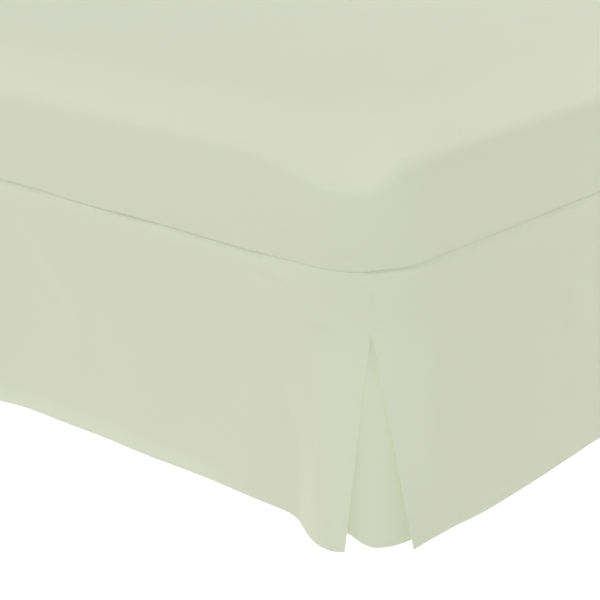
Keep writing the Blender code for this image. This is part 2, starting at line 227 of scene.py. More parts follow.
# Soft waves along a panel, which grow from nothing at the seam to their full size at the hem.
FOOT_WAVES = (
    # length, depth at the hem, phase
    (0.52, 0.0030, 0.4),
    (0.23, 0.0014, 2.0),
)
RIGHT_WAVES = (
    # length, depth at the hem, phase
    (0.61, 0.0032, 1.1),
    (0.27, 0.0016, 0.3),
)
LEFT_WAVES = (
    # length, depth at the hem, phase
    (0.55, 0.0034, 2.6),
    (0.31, 0.0018, 1.2),
)

# The foot panel's hem swings out a little beyond its line, about KICK_MIDDLE along it.
KICK = 0.006
KICK_RISE = 0.060
KICK_MIDDLE = 0.55
KICK_LENGTH = 0.30

# Creases in the panels: soft ridges, or troughs where the height is negative. Each runs between two
# places, given by the distance along the panel from its right or foot end and the drop below the seam.
FOOT_CREASES = (
    # from: along, drop; to: along, drop; half width, height
    (0.46, 0.006, 0.28, 0.034, 0.010, 0.0024),
    (0.36, 0.012, 0.25, 0.034, 0.006, 0.0014),
    (0.220, 0.012, 0.110, 0.034, 0.009, 0.0028),
    (0.26, 0.044, 0.012, 0.088, 0.015, 0.0034),
    (0.062, 0.11, 0.054, 0.31, 0.014, 0.0035),
    (0.80, 0.05, 0.65, 0.23, 0.022, -0.0042),
    (0.34, 0.20, 0.24, 0.22, 0.020, -0.0022),
    (0.155, 0.17, 0.150, 0.26, 0.016, -0.0022),
    (0.60, 0.08, 0.47, 0.30, 0.040, 0.0026),
    (1.10, 0.04, 0.96, 0.30, 0.040, 0.0038),
    (1.34, 0.03, 1.52, 0.10, 0.020, 0.0032),
    (1.20, 0.16, 1.30, 0.34, 0.034, -0.0032),
)
RIGHT_CREASES = (
    # from: along, drop; to: along, drop; half width, height
    (0.10, 0.008, 0.26, 0.055, 0.012, 0.0027),
    (0.012, 0.030, 0.012, 0.080, 0.010, -0.0010),
    (0.10, 0.06, 0.07, 0.34, 0.030, 0.0026),
    (0.52, 0.03, 0.42, 0.35, 0.030, -0.0045),
    (0.53, 0.29, 0.51, 0.39, 0.020, -0.0026),
    (0.30, 0.25, 0.24, 0.37, 0.026, -0.0026),
    (0.15, 0.390, 0.28, 0.388, 0.007, -0.0029),
    (0.62, 0.10, 0.58, 0.36, 0.034, 0.0035),
    (0.95, 0.03, 0.86, 0.30, 0.040, 0.0038),
    (1.30, 0.04, 1.36, 0.34, 0.040, -0.0038),
    (1.62, 0.03, 1.54, 0.33, 0.036, 0.0035),
)
LEFT_CREASES = (
    # from: along, drop; to: along, drop; half width, height
    (0.12, 0.02, 0.06, 0.32, 0.030, 0.0026),
    (0.44, 0.05, 0.52, 0.32, 0.036, -0.0031),
    (0.80, 0.03, 0.74, 0.34, 0.040, 0.0029),
    (1.16, 0.05, 1.05, 0.30, 0.040, -0.0029),
    (1.50, 0.03, 1.60, 0.33, 0.036, 0.0031),
)

# A crease sways by CREASE_BEND of its width, in this many half waves. It fades in and out over
# CREASE_FADE of its length, from CREASE_OVERRUN outside its ends. It is flat at the seam and reaches
# its height at CALM_DROP below it.
CREASE_BEND = 0.25
CREASE_HALF_WAVES = 1.5
CREASE_SHIFT = 9
CREASE_FADE = 0.4
CREASE_OVERRUN = 0.15
CALM_DROP = 0.012

# The sheet's wall in section. It is drawn through these shares of the section's length and, near the
# seam, through these heights.
WALL_SECTION = (
    # outward of the seam, above the seam
    (-0.0300, 0.1674),
    (-0.0120, 0.1629),
    (-0.0050, 0.1603),
    (0.0003, 0.1565),
    (0.0038, 0.1505),
    (0.0060, 0.1420),
    (0.0083, 0.1230),
    (0.0106, 0.0940),
    (0.0126, 0.0600),
    (0.0130, 0.0400),
    (0.0124, 0.0200),
    (0.0118, 0.0000),
)
WALL_SHARES = (0.05, 0.10, 0.15, 0.19, 0.23, 0.27, 0.31, 0.35, 0.39, 0.44, 0.50, 0.56, 0.62, 0.68, 0.74)
WALL_FOOT = (
    0.0380, 0.0290, 0.0220, 0.0165, 0.0125, 0.0095, 0.0072, 0.0054,
    0.0040, 0.0029, 0.0020, 0.0013, 0.0007, 0.0003, 0.0,
)

# Below the seam the sheet turns in under the mattress, where it shows at the head end only.
TUCK = (
    # above the seam; outward of it at the open head end; outward of it behind the skirt
    (-0.0003, 0.0116, 0.0079),
    (-0.0012, 0.0110, 0.0077),
    (-0.0028, 0.0088, 0.0066),
    (-0.0045, 0.0050, 0.0050),
    (-0.0058, 0.0005, 0.0005),
    (-0.0066, -0.0045, -0.0045),
)
TUCK_RISE_REACH = 0.003

# Between the skirt's two ends at the head the sheet has no groove, because nothing is sewn to it:
# within HEAD_OPEN of the bed's middle line, and from HEAD_OPEN_START before the head's seam.
HEAD_OPEN = BED_WIDTH / 2 - SEAM_RADIUS - HEAD_WRAP
HEAD_OPEN_FADE = 0.020
HEAD_OPEN_START = 0.060

# The top: its edge, and the crown that rises from it in a quick and a slow part.
EDGE_HEIGHT = 0.1620
EDGE_INSET = 0.030
CROWN = 0.024
CROWN_START = 0.012
CROWN_WIDTH = 0.070
BROAD_CROWN = 0.006
BROAD_CROWN_WIDTH = 0.280

# The dip of the mattress's corners. The right one at the foot is short and steep along the side.
# Each has its depth, its reach along the foot and along the side, and its steepness along both. The
# reaches grow with the distance from the corner.
RIGHT_CORNER_DROOP = (0.038, 0.156, 0.050, 3.0, 3.7)
OTHER_CORNER_DROOP = (0.030, 0.135, 0.110, 2.2, 2.2)
FOOT_REACH_GROWTH = 0.5
SIDE_REACH_GROWTH = 0.8

# Painted shade: the middle of the top is painted a touch darker than the slope round it, and so is
# its turned edge.
EDGE_SHADE = 0.018
EDGE_SHADE_INSET = 0.002
EDGE_SHADE_WIDTH = 0.010
EDGE_SHADE_HEIGHT = 0.125
EDGE_SHADE_RISE = 0.025
MIDDLE_SHADE = 0.016
MIDDLE_START = 0.10
MIDDLE_FADE = 0.16

# The fine grid of the sheet: its cells in each rounded corner and between them.
CORNER_CELLS = 14
WIDTH_CELLS = 96
LENGTH_CELLS = 128

# The grid of a panel: its usual spacing, and its closer columns at the ends and rows at the top.
COLUMN_SPACING = 0.0060
ROW_SPACING = 0.0070
END_COLUMNS = (0.0, 0.0012, 0.0028, 0.0050, 0.0080, 0.0120)
FIRST_MIDDLE_COLUMN = 0.017
GROOVE_ROWS = (0.0, 0.0004, 0.0009, 0.0015, 0.0023, 0.0033, 0.0046, 0.0064, 0.0090, 0.0130, 0.0180)
FIRST_MIDDLE_ROW = 0.0240
STITCH_MARGIN = 0.006
STITCH_ROWS = (-0.0040, -0.0018, -0.0007, 0.0007, 0.0018, 0.0040)
FIRST_HEM_ROW = 0.008
HEM_ROWS = 6
HEM_CLEARANCE = 0.001

# The cut edges are softened by this share of the cloth's thickness, where they are sharper than this.
SOFT_EDGE_SHARE = 0.35
SOFT_EDGE_SEGMENTS = 2
SOFT_EDGE_ANGLE = math.radians(70)
SHARP_ANGLE = math.radians(80)

# The studio: its even light, and the soft fills, which cast no shadow.
ROOM_LIGHT = 0.44
FILLS = (
    # azimuth and elevation of the light in degrees, strength, colour
    (-135.0, 40.0, 0.290, (1.0, 1.0, 1.0)),
    (-67.0, 10.0, 0.355, (1.0, 1.0, 1.0)),
    (0.0, 10.0, 0.280, (0.985, 1.0, 0.955)),
    (0.0, 90.0, 0.115, (1.0, 1.0, 1.0)),
)
FILL_SPREAD = 60.0
FLOOR_HALF = 30.0
FLOOR_DROP = 0.0005
FLOOR_GREY = 0.10
FLOOR_GLOW = 0.98

# The photograph's camera, fitted to the bed: its lens and sensor in millimetres, the direction from
# the bed towards it, and how far it stands right of the side's seam, before the foot's seam and above
# the floor.
LENS = 106.9
SENSOR = 36.0
CAMERA_BACK = (0.6098, -0.7115, 0.3492)
CAMERA_PLACE = (1.4819, 1.8874, 1.2770)

# The materials: their colours, the pitch of their threads, and how much their tone varies.
SAGE = (0.655, 0.681, 0.550)
WARP_PITCH = 0.00055
WEFT_PITCH = 0.00060
COTTON_MOTTLING = 0.016
THREAD_MOTTLING = 0.020
THREAD_STRETCH = (25.0, 420.0, 1.0)
WEAVE_SHARE = 0.35
TICKING = (0.76, 0.74, 0.69)
TICKING_PITCH = 0.0016
UPHOLSTERY = (0.56, 0.53, 0.48)
UPHOLSTERY_PITCH = 0.0022
COVER_MOTTLING = 0.16
DARK_PLASTIC = (0.020, 0.020, 0.022)

# Painted light: how much paler the hem's band is painted, and the skirt where it bulges just below the
# seam. A hem's look is its share of that painted light, and the places along it where that light and
# the stitches start to show and show in full. The insert's stay at their least.
HEM_PAINTED_LIGHT = 0.034
HEM_LIGHT_RISE = 0.012
HEM_LIGHT_LENGTH = 0.036
HEM_LIGHT_UNEVENNESS = 0.15
FOOT_HEM_LOOK = (1.0, 0.20, 0.36)
SIDE_HEM_LOOK = (0.1, 0.4, 0.9)
INSERT_HEM_LOOK = (0.0, 1.0, 2.0)
BULGE_PAINTED_LIGHT = 0.022
BULGE_REACH = 0.020

# Painted shade: the foot panel's fold beside the pleat is painted a little darker from
# FOOT_SHADES_START down to the hem.
FOOT_SHADES = (
    # place along the hem, half width, how much darker the fold is painted at the hem
    (0.135, 0.030, 0.036),
    (0.150, 0.110, 0.016),
)
FOOT_SHADES_START = 0.10

# Painted shade: how much darker the insert is painted where the pleat is nearly closed and how far
# down that reaches, and how much darker it is painted from the tack down to its hem.
SLIT_SHADE = 0.070
SLIT_SHADE_REACH = 0.085
INSERT_SHADE = 0.016


def smooth_step(value):
    value = np.clip(value, 0.0, 1.0)
    return value * value * (3.0 - 2.0 * value)


def mix(a, b, share):
    return a + (b - a) * share


def as_points(x, y, z):
    return np.stack(np.broadcast_arrays(x, y, z), -1)


class Curve:
    """A smooth curve through points, read by the share of its length in plan."""

    STEPS = 24

    def __init__(self, points):
        knots = np.array(points, float)
        padded = np.vstack([2 * knots[0] - knots[1], knots, 2 * knots[-1] - knots[-2]])
        samples = []
        for before, start, end, after in zip(padded, padded[1:], padded[2:], padded[3:]):
            for step in range(self.STEPS):
                samples.append(self.between(before, start, end, after, step / self.STEPS))
        samples.append(knots[-1])
        self.samples = np.array(samples)
        spans = np.linalg.norm(np.diff(self.samples[:, :2], axis=0), axis=1)
        self.along = np.concatenate([[0.0], np.cumsum(spans)])
        self.length = self.along[-1]

    @staticmethod
    def between(before, start, end, after, t):
        span = np.linalg.norm(end - start)
        tangent_in = (end - before) / (span + np.linalg.norm(start - before)) * span
        tangent_out = (after - start) / (span + np.linalg.norm(after - end)) * span
        return (
            (2 * t**3 - 3 * t**2 + 1) * start
            + (t**3 - 2 * t**2 + t) * tangent_in
            + (3 * t**2 - 2 * t**3) * end
            + (t**3 - t**2) * tangent_out
        )

    def at(self, share):
        place = np.asarray(share) * self.length
        columns = range(self.samples.shape[1])
        return [np.interp(place, self.along, self.samples[:, column]) for column in columns]


def seam_plan(distance, outward, wall_length, first_turn):
    """(along, outward) in plan, that distance along the seam from a pleat in a rounded corner."""
    first_part = SEAM_RADIUS * first_turn
    late = distance - first_part - (wall_length - 2 * SEAM_RADIUS)
    reach = SEAM_RADIUS + outward
    turn = np.clip(first_turn - distance / SEAM_RADIUS, 0.0, None)
    last_turn = np.clip(late / SEAM_RADIUS, 0.0, math.pi / 2)
    past_corner = np.clip(late - SEAM_RADIUS * math.pi / 2, 0.0, None)
    along = np.where(
        distance < first_part,
        SEAM_RADIUS - reach * np.sin(turn),
        SEAM_RADIUS + distance - first_part,
    )
    along = np.where(late > 0, wall_length - SEAM_RADIUS + reach * np.sin(last_turn), along)
    out = np.where(distance < first_part, reach * np.cos(turn) - SEAM_RADIUS, outward)
    out = np.where(late > 0, reach * np.cos(last_turn) - SEAM_RADIUS - past_corner, out)
    return along, out


def sum_of_waves(table, place):
    return sum(depth * np.sin(2 * math.pi * place / length + phase) for length, depth, phase in table)


def uneven(place):
    """A slow, uneven number between -1 and 1 along a seam."""
    return sum_of_waves(UNEVEN_WAVES, place)


def seam_shape(x, y):
    """At a place in plan: the seam's width and depth as shares of the usual, and its rise."""
    from_side = SIDE_X - x
    from_foot = y - FOOT_Y
    place = np.where(from_side > from_foot, -from_side, from_foot)
    places, widths, depths, rises = np.array(SEAM_LINE).T
    width = np.interp(place, places, widths) * (1.0 + GROOVE_UNEVENNESS * uneven(x - y))
    at_head = smooth_step((from_foot - BED_LENGTH + HEAD_OPEN_START) / HEAD_OPEN_FADE)
    is_open = at_head * smooth_step((HEAD_OPEN - np.abs(x)) / HEAD_OPEN_FADE)
    depth = np.interp(place, places, depths) * (1.0 - is_open)
    return width, depth, np.interp(place, places, rises)


def seam_shade(x, y, away):
    """The seam's painted shade: how much darker the cloth is painted at a distance above or below the seam.
    """
    width, depth, _ = seam_shape(x, y)
    return -SEAM_SHADE * depth * np.exp(-((away / (SEAM_SHADE_WIDTH * width)) ** 2))


def seam_lift(x, y, away):
    """How far the skirt is drawn up with the seam's line, at a distance below it."""
    return seam_shape(x, y)[2] * np.exp(-away / SEAM_RISE_REACH)


def shoulder(drop, x, y):
    """How far the cloth stands out of the seam's line at a drop below a place in plan."""
    width, depth, _ = seam_shape(x, y)
    unevenness = SHOULDER_UNEVENNESS * uneven(x - y + SHOULDER_SHIFT)
    reach = SHOULDER - SEAM_OUT + unevenness + pucker(x - y, drop)
    return SEAM_OUT + reach * (1.0 - np.clip(depth, 0.0, 1.0) * np.exp(-drop / (GROOVE * width)))


def pucker(place, drop):
    """The small puckers that the stitches pull into the skirt, in some stretches of the seam only."""
    strength = np.clip(PUCKER_SHARE + uneven(PUCKER_STRETCH * place + PUCKER_SHIFT), 0.0, 1.0)
    ripple = np.sin(2 * math.pi * place / PUCKER_LENGTH + PUCKER_DRIFT * uneven(place))
    return PUCKER * strength * ripple * np.exp(-drop / PUCKER_REACH)


def waves(table, place, drop):
    """The soft waves of a panel, which grow from the seam to the hem."""
    return smooth_step(drop / DROP) * sum_of_waves(table, place)


def kick(place, drop):
    """How far the foot panel swings out beyond its line near its hem."""
    up_from_hem = (DROP - drop) / KICK_RISE
    along = (place - KICK_MIDDLE) / KICK_LENGTH
    return KICK * np.exp(-along * along) * np.clip(1.0 - up_from_hem, 0.0, None) ** 2


def below_tack(drop):
    """The share of the way from the pleat's tack down to the hem, with a soft start."""
    below = drop - TACK_DROP
    return (below + np.sqrt(below**2 + TACK_SOFTNESS**2)) / 2 / (DROP - TACK_DROP)


def opening_share(drop, from_slit):
    """How far the cloth has gone from the seam's line to the hem's."""
    return mix(below_tack(drop), drop / DROP, smooth_step(from_slit / FREE_WIDTH))


def foot_surface(share, drop):
    """Points of the foot panel, at shares of its length from its right end."""
    hem = Curve(FOOT_HEM)
    seam_length = BED_WIDTH - 2 * SEAM_RADIUS + 2 * (FOOT_TURN * SEAM_RADIUS - PLEAT_GAP)
    from_slit = np.minimum(share, 1.0 - share) * hem.length
    place = PLEAT_GAP + share * seam_length
    along, out = seam_plan(place, SEAM_OUT, BED_WIDTH, FOOT_TURN)
    standing = shoulder(drop, SIDE_X - along, FOOT_Y - out)
    along, out = seam_plan(place, standing, BED_WIDTH, FOOT_TURN)
    hem_along, hem_out = hem.at(share)
    opened = opening_share(drop, from_slit)
    along = mix(along, hem_along, opened)
    out = mix(out, hem_out, opened)
    out = out + smooth_step(from_slit / FREE_WIDTH) * waves(FOOT_WAVES, along, drop)
    out = out + kick(along, drop)
    x = SIDE_X - along
    y = FOOT_Y - out
    return as_points(x, y, SEAM_HEIGHT - SEWN_GAP - drop + seam_lift(x, y, drop))


def side_surface(side, table):
    """Points of a side panel, at shares of its length from the foot. See UNDERLAP for its edge."""
    hem = Curve(SIDE_HEM)
    corners = SEAM_RADIUS * (SIDE_TURN + math.pi / 2)
    seam_length = corners + BED_LENGTH - 2 * SEAM_RADIUS + HEAD_WRAP - PLEAT_GAP

    def surface(share, drop):
        from_slit = share * hem.length
        closed = 1.0 - smooth_step((drop - TACK_DROP + UNDER_END_RISE) / UNDER_END_LENGTH)
        under = closed * np.exp(-((from_slit / UNDER_WIDTH) ** 2))
        place = PLEAT_GAP + share * seam_length - UNDERLAP * under
        along, out = seam_plan(place, SEAM_OUT, BED_LENGTH, SIDE_TURN)
        standing = shoulder(drop, side * (SIDE_X + out), FOOT_Y + along)
        standing = standing - UNDER_DEPTH * under * smooth_step(drop / UNDER_START)
        along, out = seam_plan(place, standing, BED_LENGTH, SIDE_TURN)
        hem_along, hem_out = hem.at(share)
        opened = opening_share(drop, from_slit)
        free = smooth_step(from_slit / FREE_WIDTH)
        free = free * smooth_step((1.0 - share) * hem.length / FREE_WIDTH - 1.0)
        along = mix(along, hem_along, opened)
        out = mix(out, hem_out, opened) + free * waves(table, along, drop)
        x = side * (SIDE_X + out)
        y = FOOT_Y + along
        return as_points(x, y, SEAM_HEIGHT - SEWN_GAP - drop + seam_lift(x, y, drop))

    return surface


def insert_surface(side):
    """Points of a pleat's insert, from behind the foot panel to behind the side panel."""
    hem = Curve(INSERT_HEM)

    def surface(share, drop):
        from_middle = (2 * share - 1) * INSERT_HALF_WIDTH
        behind = INSERT_BEHIND + INSERT_BEHIND_TACK * smooth_step(drop / TACK_DROP)
        depth = shoulder(drop, SIDE_X, FOOT_Y) - behind
        to_foot = seam_plan(np.abs(from_middle), depth, BED_WIDTH, FOOT_TURN)
        to_side = seam_plan(np.abs(from_middle), depth, BED_WIDTH, SIDE_TURN)
        right = np.where(from_middle < 0, -to_foot[0], to_side[1])
        front = np.where(from_middle < 0, to_foot[1], -to_side[0])
        hem_right, hem_front, raised = hem.at(share)
        opened = below_tack(drop)
        right = mix(right, hem_right, opened)
        front = mix(front, hem_front, opened)
        height = HEM_HEIGHT + raised + (DROP - drop) * (1 - (raised + INSERT_TOP_DROP) / DROP)
        return as_points(side * (SIDE_X + right), FOOT_Y - front, height)

    return surface


def row_drops():
    """The drops of a panel's rows: close together at the seam, and in the hem and at its stitches."""
    stitch = DROP - HEM
    middle = np.arange(FIRST_MIDDLE_ROW, stitch - STITCH_MARGIN, ROW_SPACING)
    hem_rows = np.linspace(stitch + FIRST_HEM_ROW, DROP, HEM_ROWS)
    return np.concatenate([GROOVE_ROWS, middle, stitch + np.array(STITCH_ROWS), hem_rows])


def facing(points, side):
    """Normals of a grid of points, on the side given by the sign of side."""
    along = np.gradient(points, axis=0)
    down = np.gradient(points, axis=1)
    normal = np.cross(along, down) * side
    return normal / np.linalg.norm(normal, axis=-1, keepdims=True)


def crease_lift(table, place, drop):
    """The height of all creases at each point of a panel."""
    lift = np.zeros(np.broadcast(place, drop).shape)
    for from_place, from_drop, to_place, to_drop, width, height in table:
        run = np.array([to_place - from_place, to_drop - from_drop])
        length = np.linalg.norm(run)
        run = run / length
        ahead = (place - from_place) * run[0] + (drop - from_drop) * run[1]
        aside = (place - from_place) * run[1] - (drop - from_drop) * run[0]
        share = ahead / length
        sway = math.pi * share * CREASE_HALF_WAVES + from_place * CREASE_SHIFT
        bend = CREASE_BEND * width * np.sin(sway)
        fade_in = smooth_step((share + CREASE_OVERRUN) / CREASE_FADE)
        fade_out = smooth_step((1 + CREASE_OVERRUN - share) / CREASE_FADE)
        lift += height * fade_in * fade_out * np.exp(-(((aside - bend) / width) ** 2))
    return lift


def stitch_dent(place, drop, start, full):
    """The shallow dent of the hem's line of stitches, and the hem's double thickness below it."""
    from_line = drop - (DROP - HEM)
    step = HEM_STEP * smooth_step((from_line + HEM_STEP_RISE) / (2 * HEM_STEP_RISE))
    stitching = STITCH_DENT * np.exp(-((from_line / STITCH_WIDTH) ** 2))
    shown = mix(LEAST_STITCHING, 1.0, smooth_step((place - start) / (full - start)))
    return (step - stitching) * shown


def grid_object(name, points, coordinates, material):
    """A mesh from a grid of points, with the cloth's own coordinates in metres as its UV map."""
    columns, rows = points.shape[:2]
    index = np.arange(columns * rows).reshape(columns, rows)
    quads = np.stack([index[:-1, :-1], index[:-1, 1:], index[1:, 1:], index[1:, :-1]], -1)
    mesh = bpy.data.meshes.new(name)
    mesh.from_pydata(points.reshape(-1, 3).tolist(), [], quads.reshape(-1, 4).tolist())
    layer = mesh.uv_layers.new(name="cloth")
    corners = np.empty(len(mesh.loops), np.int32)
    mesh.loops.foreach_get("vertex_index", corners)
    layer.data.foreach_set("uv", coordinates.reshape(-1, 2)[corners].ravel().astype(np.float32))
    mesh.materials.append(material)
    made = bpy.data.objects.new(name, mesh)
    bpy.context.scene.collection.objects.link(made)
    return made


def thicken(piece, thickness):
    """Gives a sheet its thickness on the inner side and softens its cut edges."""
    solidify = piece.modifiers.new("thickness", "SOLIDIFY")
    solidify.thickness = thickness
    solidify.offset = -1.0
    edges = piece.modifiers.new("soft edges", "BEVEL")
    edges.width = thickness * SOFT_EDGE_SHARE
    edges.segments = SOFT_EDGE_SEGMENTS
    edges.limit_method = "ANGLE"
    edges.angle_limit = SOFT_EDGE_ANGLE
    piece.data.shade_smooth()
    piece.data.set_sharp_from_angle(angle=SHARP_ANGLE)


def fold_side_edge(points, coordinates, pressed, side):
    """Turns the edge at the first column back behind the cloth."""
    near_edge = np.abs(coordinates[:, 0, 0] - coordinates[0, 0, 0]) < EDGE_RETURN
    turned = [grid.swapaxes(0, 1)[:, ::-1] for grid in (points, coordinates, facing(points, side))]
    folded = folded_back(*turned, np.nonzero(near_edge)[0].max(), 1.0)
    extra = folded[0].shape[1] - points.shape[0]
    points, coordinates = [grid[:, ::-1].swapaxes(0, 1) for grid in folded]
    return points, coordinates, np.concatenate([np.full(extra, PRESSED_FOLD), pressed])


def panel_painted_shading(name, x, y, place, drop, hem_look):
    """The painted light and shade of a panel: how much paler or darker than plain its cloth is painted."""
    painted_shading = painted_hem_light(place, drop, *hem_look) + seam_shade(x, y, drop)
    # Painted light: the skirt's bulge just below the seam is painted paler.
    painted_shading = painted_shading + BULGE_PAINTED_LIGHT * np.exp(-np.abs(drop) / BULGE_REACH)
    if "foot" in name:
        painted_shading = painted_shading - fold_shade(place, drop)
    if "insert" in name:
        # Painted shade on the insert, in the nearly closed slit and darkening towards its hem.
        painted_shading = painted_shading - SLIT_SHADE * smooth_step(1.0 - (drop - TACK_DROP) / SLIT_SHADE_REACH)
        painted_shading = painted_shading - INSERT_SHADE * smooth_step((drop - TACK_DROP) / (DROP - TACK_DROP))
    return painted_shading


def panel(name, surface, length, side, creases, material, hem_look):
    """A hanging panel with creases and a turned-up hem. All but the inserts have folded side edges."""
    share = column_shares(length)[:, None]
    drop = row_drops()[None, :]
    place = share * length
    points = surface(share, drop)
    lift = crease_lift(creases, place, drop) * smooth_step(drop / CALM_DROP)
    lift = lift + stitch_dent(place, drop, *hem_look[1:])
    points = points + facing(points, side) * lift[..., None]
    grids = (points, np.stack(np.broadcast_arrays(place, drop), -1), np.ones(points.shape[0]))
    if "insert" not in name:
        grids = fold_side_edge(*grids, side)
        grids = fold_side_edge(*[grid[::-1] for grid in grids], -side)
        grids = [grid[::-1] for grid in grids]
    points, coordinates, pressed = grids
    hem_rows = int(np.sum(row_drops() > DROP - HEM + HEM_CLEARANCE))
    points, coordinates = folded_back(points, coordinates, facing(points, side), hem_rows, pressed[:, None])
    piece = grid_object(name, points, coordinates, material)
    x, y = points[..., 0], points[..., 1]
    place, drop = coordinates[..., 0], coordinates[..., 1]
    # Painted light and shade, stored on the piece for its cloth's colour.
    set_painted_shading(piece.data, panel_painted_shading(name, x, y, place, drop, hem_look))
    if side > 0:
        piece.data.flip_normals()
    thicken(piece, CLOTH)
    return piece


def set_painted_shading(mesh, painted_shading):
    """Stores the painted light and shade of the cloth at each point, as lighter or darker than plain."""
    tones = mesh.attributes.new("painted_shading", "FLOAT", "POINT")
    tones.data.foreach_set("value", np.asarray(painted_shading, np.float32).ravel())


def fold_shade(place, drop):
    """Painted shade on the foot panel's fold beside the pleat, which faces away, darker lower down."""
    shades = sum(dark * np.exp(-(((place - middle) / width) ** 2)) for middle, width, dark in FOOT_SHADES)
    return shades * np.clip((drop - FOOT_SHADES_START) / (DROP - FOOT_SHADES_START), 0.0, 1.0)


def painted_hem_light(place, drop, painted_shading, start, full):
    """Painted light: the band of the doubled hem is painted a little paler."""
    hem_band = smooth_step((drop - (DROP - HEM) + HEM_LIGHT_RISE) / HEM_LIGHT_LENGTH)
    along = smooth_step((place - start) / (full - start))
    return HEM_PAINTED_LIGHT * painted_shading * hem_band * along * (1.0 + HEM_LIGHT_UNEVENNESS * uneven(place))


def column_shares(length):
    """Shares of a panel's length: close together at its ends."""
    near = np.array(END_COLUMNS) / length
    columns = int(length / COLUMN_SPACING)
    first = FIRST_MIDDLE_COLUMN / length
    middle = np.linspace(first, 1 - first, columns)
    return np.concatenate([near, middle, 1 - near[::-1]])


def folded_back(points, coordinates, outward, rows, full):
    """Adds a half-round fold after the last row, and the same rows again behind the cloth."""
    bottom, away = points[:, -1], outward[:, -1]
    onward = points[:, -1] - points[:, -2]
    onward = onward / np.linalg.norm(onward, axis=-1, keepdims=True)
    step = coordinates[:, -1] - coordinates[:, -2]
    step = step / np.linalg.norm(step, axis=-1, keepdims=True)
    layers = [points]
    texture = [coordinates]
    for turn in FOLD_TURNS:
        angle = turn * math.pi
        inward = EDGE_FOLD * (1 - math.cos(angle)) * full
        layers.append((bottom + onward * EDGE_FOLD * math.sin(angle) - away * inward)[:, None])
        texture.append((coordinates[:, -1] + step * angle * EDGE_FOLD)[:, None])
    for back in range(rows):
        row = points.shape[1] - 1 - back
        layers.append((points[:, row] - outward[:, row] * 2 * EDGE_FOLD * full)[:, None])
        gone = np.linalg.norm(coordinates[:, -1] - coordinates[:, row], axis=-1, keepdims=True)
        texture.append((coordinates[:, -1] + step * (math.pi * EDGE_FOLD + gone))[:, None])
    return np.concatenate(layers, 1), np.concatenate(texture, 1)


def grid_line(index, middle_cells, half_length):
    """The place of a grid line across the bed, with lines where the rounded corners start."""
    last = 2 * CORNER_CELLS + middle_cells
    if index <= CORNER_CELLS:
        return -half_length + SEAM_RADIUS * index / CORNER_CELLS
    if index >= last - CORNER_CELLS:
        return half_length - SEAM_RADIUS * (last - index) / CORNER_CELLS
    return (half_length - SEAM_RADIUS) * (2 * (index - CORNER_CELLS) / middle_cells - 1)


def rounded(x, y):
    """Draws a point of the square grid in to the bed's rounded corners."""
    over_x = max(0.0, abs(x) - (BED_WIDTH / 2 - SEAM_RADIUS)) / SEAM_RADIUS
    over_y = max(0.0, abs(y) - (BED_LENGTH / 2 - SEAM_RADIUS)) / SEAM_RADIUS
    back_x = over_x * (1 - math.sqrt(1 - over_y**2 / 2)) * SEAM_RADIUS
    back_y = over_y * (1 - math.sqrt(1 - over_x**2 / 2)) * SEAM_RADIUS
    return x - math.copysign(back_x, x), y - math.copysign(back_y, y)


def edge_frame(x, y):
    """The outward direction at the seam nearest to a point in plan, and how far inside it lies."""
    over_x = abs(x) - (BED_WIDTH / 2 - SEAM_RADIUS)
    over_y = abs(y) - (BED_LENGTH / 2 - SEAM_RADIUS)
    if over_x > 0 and over_y > 0:
        reach = math.hypot(over_x, over_y)
        direction = (math.copysign(over_x / reach, x), math.copysign(over_y / reach, y))
        return direction, SEAM_RADIUS - reach
    if over_x > over_y:
        return (math.copysign(1.0, x), 0.0), SEAM_RADIUS - over_x
    return (0.0, math.copysign(1.0, y)), SEAM_RADIUS - over_y


def droop(x, y):
    """How far the mattress's top sinks near its nearest corner."""
    to_side = max(0.0, BED_WIDTH / 2 - abs(x))
    to_end = max(0.0, BED_LENGTH / 2 - abs(y))
    shape = RIGHT_CORNER_DROOP if x > 0 > y else OTHER_CORNER_DROOP
    depth, foot_reach, side_reach, foot_steepness, side_steepness = shape
    along_foot = to_side / (foot_reach + FOOT_REACH_GROWTH * to_end)
    along_side = to_end / (side_reach + SIDE_REACH_GROWTH * to_side)
    return depth * math.exp(-(along_foot**foot_steepness) - along_side**side_steepness)


def top_height(x, y):
    """How high the sheet's top lies above the seam."""
    inset = edge_frame(x, y)[1]
    rise = CROWN * (1 - math.exp(-max(0.0, inset - CROWN_START) / CROWN_WIDTH))
    rise += BROAD_CROWN * (1 - math.exp(-max(0.0, inset - EDGE_INSET) / BROAD_CROWN_WIDTH))
    return EDGE_HEIGHT + rise - droop(x, y)


def top_grid():
    """The sheet's top, as a fine grid."""
    surface = bmesh.new()
    columns = 2 * CORNER_CELLS + WIDTH_CELLS
    rows = 2 * CORNER_CELLS + LENGTH_CELLS
    bmesh.ops.create_grid(surface, x_segments=columns, y_segments=rows, size=1.0)
    for point in surface.verts:
        column = round((point.co.x + 1.0) / 2.0 * columns)
        row = round((point.co.y + 1.0) / 2.0 * rows)
        x = grid_line(column, WIDTH_CELLS, BED_WIDTH / 2)
        y = grid_line(row, LENGTH_CELLS, BED_LENGTH / 2)
        x, y = rounded(x, y)
        x *= 1 - 2 * EDGE_INSET / BED_WIDTH
        y *= 1 - 2 * EDGE_INSET / BED_LENGTH
        point.co = x, y, top_height(x, y)
    return surface


def wall_sections():
    """The lines that the sheet's wall is drawn through: outward, above the seam, outward when sewn."""
    wall = Curve(WALL_SECTION)
    sections = [(*wall.at(share), SEAM_OUT) for share in WALL_SHARES]
    outwards, heights = wall.samples[::-1].T
    sections += [(np.interp(height, heights, outwards), height, SEAM_OUT) for height in WALL_FOOT]
    return sections + [(outward, height, sewn) for height, outward, sewn in TUCK]


